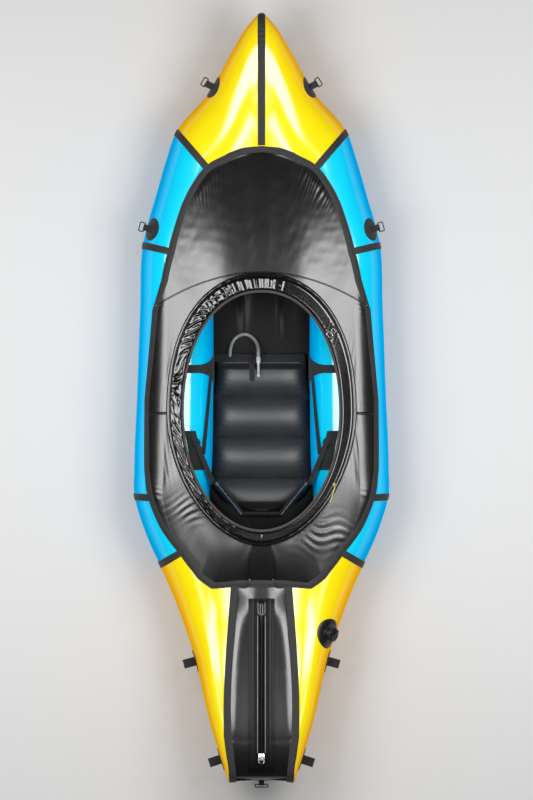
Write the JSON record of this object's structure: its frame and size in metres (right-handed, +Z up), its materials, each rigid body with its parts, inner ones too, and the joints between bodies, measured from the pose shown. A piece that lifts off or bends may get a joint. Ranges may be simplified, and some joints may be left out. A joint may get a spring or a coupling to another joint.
{
  "type": "packraft",
  "caption": "Decked inflatable packraft: tapered tube hull in coloured panels, black deck with an oval coaming, inflated seat and backrest, cargo zip, tie-down loops and valve.",
  "frame": {"origin": "middle of the floor under the raft, at the centre of its box", "axes": "+Y to the bow, +X to starboard, +Z up"},
  "size_m": [0.882, 2.672, 0.3556],
  "materials": {
    "yellow_fabric": "smooth coated fabric, yellow, semi-gloss",
    "cyan_fabric": "smooth coated fabric, cyan, semi-gloss",
    "black_fabric": "coated fabric, black, glossy, creased",
    "seam_tape": "welded seam tape, dark grey, satin",
    "floor_fabric": "heavy coated fabric, black, satin",
    "coaming_fabric": "coated sleeve fabric, black, glossy",
    "binding_tape": "woven binding tape, brown-grey, matt",
    "seat_fabric": "coated fabric, black, satin",
    "webbing": "woven webbing, black, matt",
    "hard_plastic": "moulded plastic, black, satin",
    "hose_plastic": "translucent soft plastic, grey",
    "steel": "bright metal",
    "ring_plastic": "moulded plastic, grey, satin"
  },
  "bodies": {
    "hull": {"backrest_strap_port": "webbing", "backrest_strap_starboard": "webbing", "bow_panel_port": "yellow_fabric", "bow_panel_starboard": "yellow_fabric", "bow_tape": "seam_tape", "cargo_panel": "black_fabric", "cargo_tape_port": "seam_tape", "cargo_tape_starboard": "seam_tape", "cargo_zip": "black_fabric", "coaming_binding": "binding_tape", "coaming_flange": "coaming_fabric", "coaming_rod": "coaming_fabric", "deck_aft": "black_fabric", "deck_edge_tape": "seam_tape", "deck_fore": "black_fabric", "deck_port": "black_fabric", "deck_starboard": "black_fabric", "floor_sheet": "floor_fabric", "fore_panel_port": "cyan_fabric", "fore_panel_starboard": "cyan_fabric", "hose": "hose_plastic", "keel_panel": "black_fabric", "mid_panel_port": "cyan_fabric", "mid_panel_starboard": "cyan_fabric", "mouth_valve": "hose_plastic", "quarter_panel_port": "cyan_fabric", "quarter_panel_starboard": "cyan_fabric", "seat_cushion": "seat_fabric", "side_webbing_port": "webbing", "side_webbing_starboard": "webbing", "stern_panel_port": "yellow_fabric", "stern_panel_starboard": "yellow_fabric", "stern_patch": "webbing", "strap_buckle_port": "hard_plastic", "strap_buckle_starboard": "hard_plastic", "strap_patch_port": "webbing", "strap_patch_starboard": "webbing", "tie_patch_bow_port": "webbing", "tie_patch_bow_starboard": "webbing", "tie_patch_fore_port": "webbing", "tie_patch_fore_starboard": "webbing", "tie_patch_stern_mid_port": "webbing", "tie_patch_stern_mid_starboard": "webbing", "tie_patch_stern_rear_port": "webbing", "tie_patch_stern_rear_starboard": "webbing", "valve_body": "hard_plastic", "valve_patch": "hard_plastic"},
    "backrest": {"backrest": "seat_fabric"},
    "valve_cap": {"valve_cap": "hard_plastic"},
    "zip_slider": {"zip_slider": "steel"},
    "zip_pull": {"zip_pull": "webbing"},
    "stern_ring": {"stern_ring": "ring_plastic"},
    "tie_ring_bow_port": {"tie_ring_bow_port": "ring_plastic"},
    "tie_ring_bow_starboard": {"tie_ring_bow_starboard": "ring_plastic"},
    "tie_ring_fore_port": {"tie_ring_fore_port": "ring_plastic"},
    "tie_ring_fore_starboard": {"tie_ring_fore_starboard": "ring_plastic"}
  },
  "joints": [
    {"name": "backrest_fold", "type": "hinge", "parent": "hull", "child": "backrest", "pos_m": [0, -0.28217, 0.2], "axis": [-1, 0, 0], "range_deg": [0, 60]},
    {"name": "valve_cap_turn", "type": "hinge", "parent": "hull", "child": "valve_cap", "pos_m": [0.24493, -0.80549, 0.26332], "axis": [0.778, -0.1356, 0.6135], "range_deg": [0, 90]},
    {"name": "zip_slide", "type": "slide", "parent": "hull", "child": "zip_slider", "axis": [0, 0.9909, -0.1347], "range_m": [0, 0.455]},
    {"name": "zip_pull_swing", "type": "hinge", "parent": "zip_slider", "child": "zip_pull", "pos_m": [0, -1.22429, 0.35171], "axis": [-1, 0, 0], "range_deg": [0, 168]},
    {"name": "stern_ring_swing", "type": "hinge", "parent": "hull", "child": "stern_ring", "pos_m": [0, -1.32406, 0.24814], "axis": [1, 0, 0], "range_deg": [-100, 30]},
    {"name": "tie_ring_bow_port_swing", "type": "hinge", "parent": "hull", "child": "tie_ring_bow_port", "pos_m": [-0.19009, 1.09648, 0.22674], "axis": [-0.5104, -0.8134, -0.2792], "range_deg": [-110, 35]},
    {"name": "tie_ring_fore_port_swing", "type": "hinge", "parent": "hull", "child": "tie_ring_fore_port", "pos_m": [-0.4044, 0.59949, 0.2252], "axis": [-0.2559, -0.9665, -0.0179], "range_deg": [-110, 35]},
    {"name": "tie_ring_bow_starboard_swing", "type": "hinge", "parent": "hull", "child": "tie_ring_bow_starboard", "pos_m": [0.19009, 1.09648, 0.22674], "axis": [-0.5104, 0.8134, 0.2792], "range_deg": [-110, 35]},
    {"name": "tie_ring_fore_starboard_swing", "type": "hinge", "parent": "hull", "child": "tie_ring_fore_starboard", "pos_m": [0.4044, 0.59949, 0.2252], "axis": [-0.2559, 0.9665, 0.0179], "range_deg": [-110, 35]}
  ]
}
